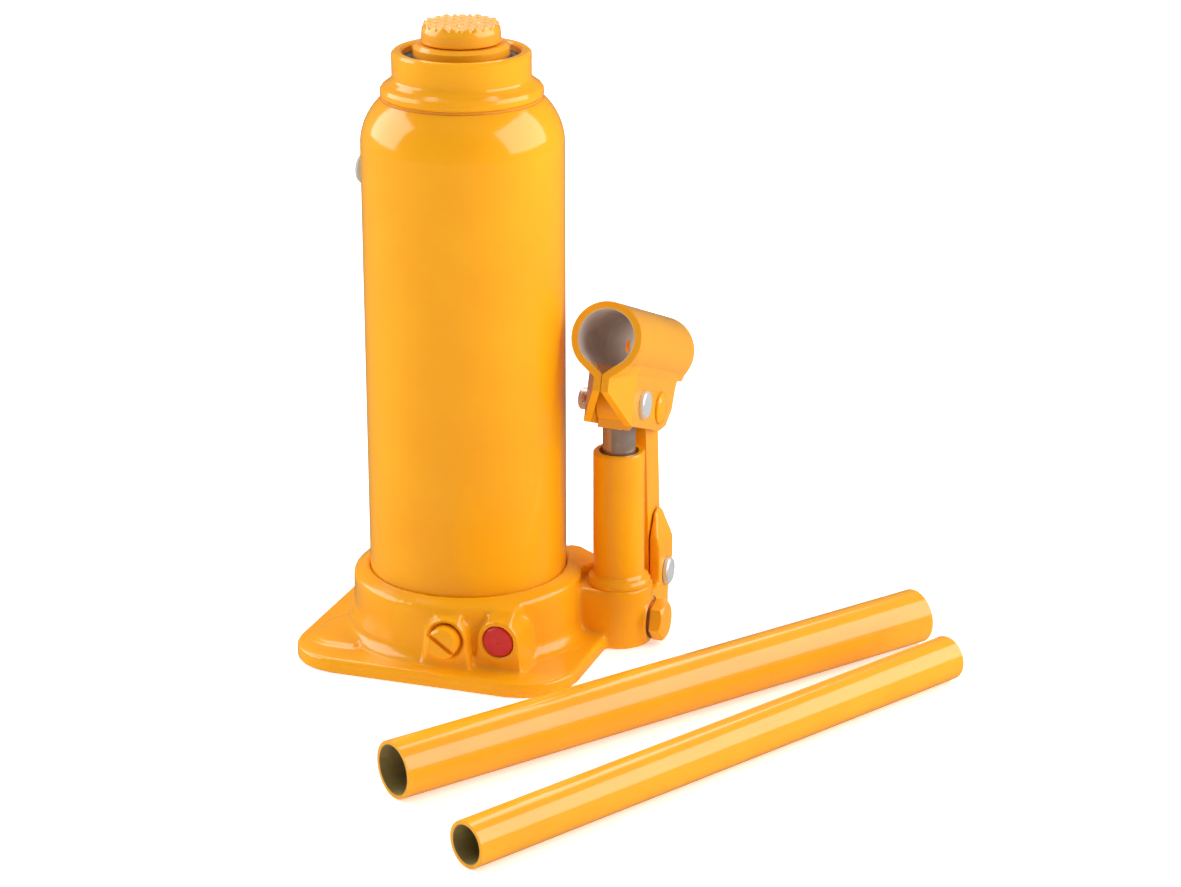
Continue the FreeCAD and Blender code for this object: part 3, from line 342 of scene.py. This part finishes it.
# The coil is trimmed level a little inside each stump, and closed.
for height, side in ((THREAD_FROM - THREAD_LAP, -1), (THREAD_TO + THREAD_LAP, 1)):
    coil_faces = [f for f in bm.faces if f not in stump_faces]
    coil_verts = list({v for f in coil_faces for v in f.verts})
    coil_edges = list({e for f in coil_faces for e in f.edges})
    bmesh.ops.bisect_plane(bm, geom=coil_verts + coil_edges + coil_faces, dist=CUT,
                           plane_co=(0, 0, height), plane_no=(0, 0, side), clear_outer=True)
bmesh.ops.holes_fill(bm, edges=[e for e in bm.edges if e.is_boundary], sides=0)
bmesh.ops.recalc_face_normals(bm, faces=bm.faces)
screw = new_piece("threaded_screw", bm, screw_mat, "screw", "extension_screw")
screw.data.set_sharp_from_angle(angle=math.radians(30))

# ---------------------------------------------------------------- overload plug
# Moulded polythene cap, pushed over the set screw of the overload valve. It is bright red and
# waxy, so its highlight is broad and dull beside the enamel's.
red_mat, tree, where = blank_material("red moulded polythene")
flow = add(tree, "ShaderNodeTexNoise", {"Vector": where}, {"Scale": 1 / (2.5 * MM), "Detail": 2.0})
tint = add(tree, "ShaderNodeMix", {"Factor": flow.outputs["Fac"]},
           {6: linear("E02A22"), 7: linear("C71A1C")}, data_type="RGBA").outputs[2]
surface = add(tree, "ShaderNodeBsdfPrincipled", {"Base Color": tint}, {"Roughness": 0.38, "IOR": 1.5})
add(tree, "ShaderNodeOutputMaterial", {"Surface": surface.outputs["BSDF"]})
dress(red_mat, "overload_plug")

# ---------------------------------------------------------------- handle socket and handle tubes
# A sleeve bent up from steel sheet and two lengths of steel tube, enamelled outside. The spray
# goes only just round their lips, so the bores stay bare, oiled and dull.
SPRAY_FROM = 0.1 * MM
SPRAY_FULL = 0.35 * MM


def bore_bare(name, point, along, bore_r, light, dark):
    """Enamel outside, bare steel nearer than bore_r to the axis through point."""
    mat, tree, where = blank_material(name)
    centred = add(tree, "ShaderNodeVectorMath", {0: where}, {1: point}, operation="SUBTRACT")
    across = add(tree, "ShaderNodeVectorMath", {0: centred.outputs[0]}, {1: along},
                 operation="CROSS_PRODUCT")
    reach = add(tree, "ShaderNodeVectorMath", {0: across.outputs[0]}, operation="LENGTH")
    paint = add(tree, "ShaderNodeMapRange", {"Value": reach.outputs["Value"]},
                {"From Min": bore_r + SPRAY_FROM, "From Max": bore_r + SPRAY_FULL})
    stain = add(tree, "ShaderNodeTexNoise", {"Vector": where}, {"Scale": 1 / (4 * MM), "Detail": 5.0})
    steel = add(tree, "ShaderNodeMix", {"Factor": stain.outputs["Fac"]},
                {6: linear(light), 7: linear(dark)}, data_type="RGBA")
    part_sprayed(tree, where, paint.outputs[0], steel.outputs[2], metallic=0.15, rough=0.5)
    return mat


# Sheet steel keeps its mill scale inside the socket, a pale grey brown.
SOCKET_BORE_R = 10.3 * MM
SOCKET_TILT = math.radians(20.9)
socket_axis = (0.0, -math.cos(SOCKET_TILT), math.sin(SOCKET_TILT))
socket_point = (53.3 * MM, -0.1 * MM, 120.5 * MM)
socket_mat = bore_bare("enamel outside, scaled sheet steel inside", socket_point, socket_axis,
                       SOCKET_BORE_R, "E4D6CA", "C0B2A6")
dress(socket_mat, "handle_socket")
# Preserving oil has stained the tubes yellow brown inside. Each row is a tube's two ends and the
# radius of its bore, in mm.
for size, start, end, bore_r in (("big", (25.6, -136.8, 10), (157.7, 46.5, 10), 8.5),
                                 ("small", (66.1, -175.6, 8), (176.4, 17.0, 8), 6.5)):
    along = (Vector(end) - Vector(start)).normalized()
    tube_mat = bore_bare("enamel outside, oiled tube steel inside " + size, Vector(start) * MM, along,
                         bore_r * MM, "B09C62", "857245")
    dress(tube_mat, "handle_tube_" + size)

# ---------------------------------------------------------------- floor, light and camera
# A pale paper sweep with a soft box on each side, one high behind and a weak one in front, and
# the camera where the buyer stands. Lengths here are in metres.
PAPER_CLOUD = 1000 / 6 * MM
PAPER_HALF = 4.0
ROOM_LIGHT = 0.14
# Paper is matt, and so nearly even that its clouds hardly show.
floor_mat, tree, where = blank_material("matt white sweep")
speck = add(tree, "ShaderNodeTexNoise", {"Vector": where}, {"Scale": 1 / PAPER_CLOUD, "Detail": 2.0})
tone = add(tree, "ShaderNodeMix", {"Factor": speck.outputs["Fac"]},
           {6: linear("F6F6F6"), 7: linear("F9F9F9")}, data_type="RGBA").outputs[2]
reach = add(tree, "ShaderNodeVectorMath", {0: where}, operation="LENGTH")
# It glows, more strongly away from the object: painted light standing in for a lamp behind the sweep,
# so that it runs out to white.
glow = add(tree, "ShaderNodeMapRange", {"Value": reach.outputs["Value"]},
           {"From Min": 0.25, "From Max": 1.3, "To Min": 0.42, "To Max": 0.95})
surface = add(tree, "ShaderNodeBsdfPrincipled",
              {"Base Color": tone, "Emission Color": tone, "Emission Strength": glow.outputs[0]},
              {"Roughness": 0.75})
add(tree, "ShaderNodeOutputMaterial", {"Surface": surface.outputs["BSDF"]})
bm = bmesh.new()
bmesh.ops.create_grid(bm, x_segments=1, y_segments=1, size=PAPER_HALF)
mesh = bpy.data.meshes.new("floor")
bm.to_mesh(mesh)
bm.free()
floor = bpy.data.objects.new("floor", mesh)
bpy.context.collection.objects.link(floor)
mesh.materials.append(floor_mat)
# Kept out of the reflections, as a studio keeps it out with black card.
floor.visible_glossy = False

world = bpy.data.worlds.new("studio")
bpy.context.scene.world = world
world.use_nodes = True
background = world.node_tree.nodes["Background"]
background.inputs["Color"].default_value = (1, 1, 1, 1)
background.inputs["Strength"].default_value = ROOM_LIGHT


def soft_box(name, place, aim, size, watts, mirrored=True):
    """Soft box turned to face aim; one that isn't mirrored leaves no highlight on the gloss."""
    light = bpy.data.lights.new(name, "AREA")
    light.shape = "RECTANGLE"
    light.size, light.size_y = size
    light.energy = watts
    lamp = bpy.data.objects.new(name, light)
    lamp.location = place
    lamp.rotation_euler = (Vector(aim) - Vector(place)).to_track_quat("-Z", "Y").to_euler()
    lamp.visible_glossy = mirrored
    bpy.context.collection.objects.link(lamp)


soft_box("right_box", (1.2, 0.25, 0.75), aim=(0, 0, 0.12), size=(1.5, 1.1), watts=19)
soft_box("left_box", (-1.25, -0.15, 0.75), aim=(0, 0, 0.12), size=(1.3, 1.1), watts=17)
soft_box("top_box", (-0.3, 0.75, 1.35), aim=(0, 0, 0.1), size=(1.1, 1.1), watts=13)
soft_box("front_fill", (0.15, -0.45, 1.5), aim=(0, 0, 0.0), size=(1.2, 1.2), watts=5, mirrored=False)

CAMERA_PLACE = (0.3848, -0.9894, 0.4518)
LOOK_DOWN_DEG = 19.57
LOOK_ROUND_DEG = 18.83
cam = bpy.data.cameras.new("camera")
cam.sensor_width = 36.0
cam.lens = 94.51
camera = bpy.data.objects.new("camera", cam)
camera.location = CAMERA_PLACE
camera.rotation_euler = (math.radians(90 - LOOK_DOWN_DEG), 0, math.radians(LOOK_ROUND_DEG))
bpy.context.collection.objects.link(camera)
bpy.context.scene.camera = camera
bpy.context.scene.view_settings.view_transform = "Standard"
